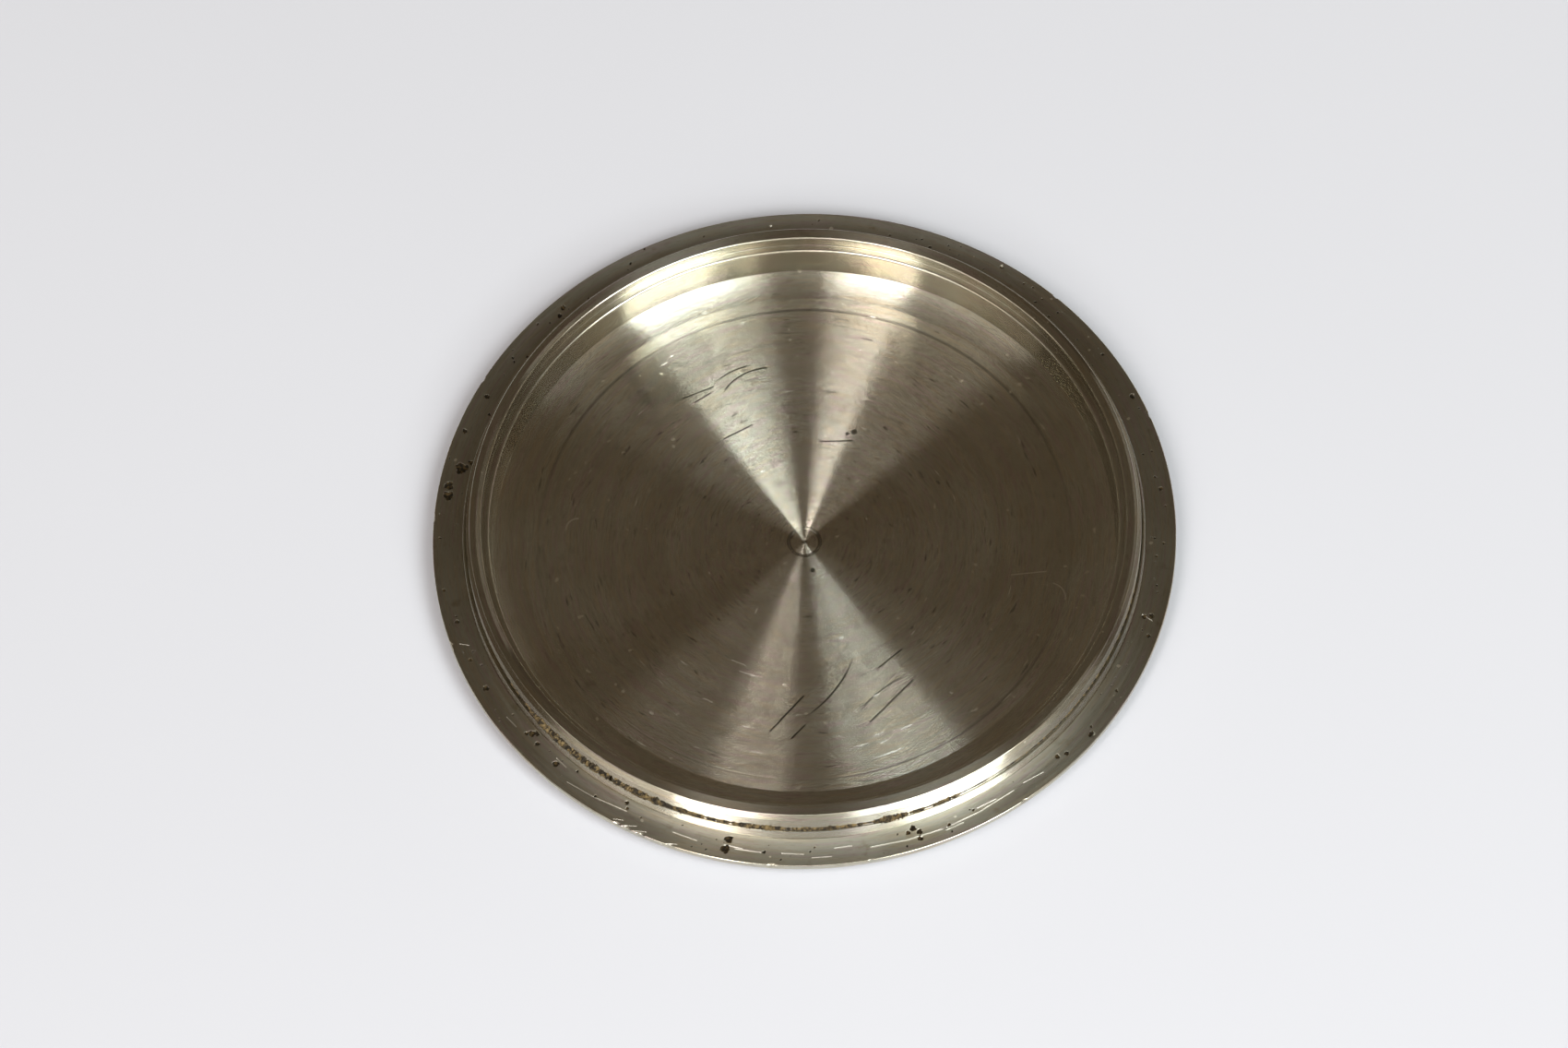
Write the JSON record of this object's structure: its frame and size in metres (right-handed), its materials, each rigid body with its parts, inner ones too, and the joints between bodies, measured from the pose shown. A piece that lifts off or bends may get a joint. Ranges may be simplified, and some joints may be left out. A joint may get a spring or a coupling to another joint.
{
  "type": "watch case back",
  "caption": "Shallow round turned metal case back with a stepped press-in lip and outer flange that closes the underside of a wristwatch case.",
  "frame": {"origin": "on the turning axis, in the plane of the flat outer face", "axes": "+Z along the turning axis out of the hollow side; X and Y are free, as the part is round"},
  "size_m": [0.032, 0.032, 0.0026],
  "materials": {
    "turned_steel": "fine lathe-turned stainless steel, worn and lightly pitted"
  },
  "bodies": {
    "root": {"case_back": "turned_steel"}
  },
  "joints": []
}
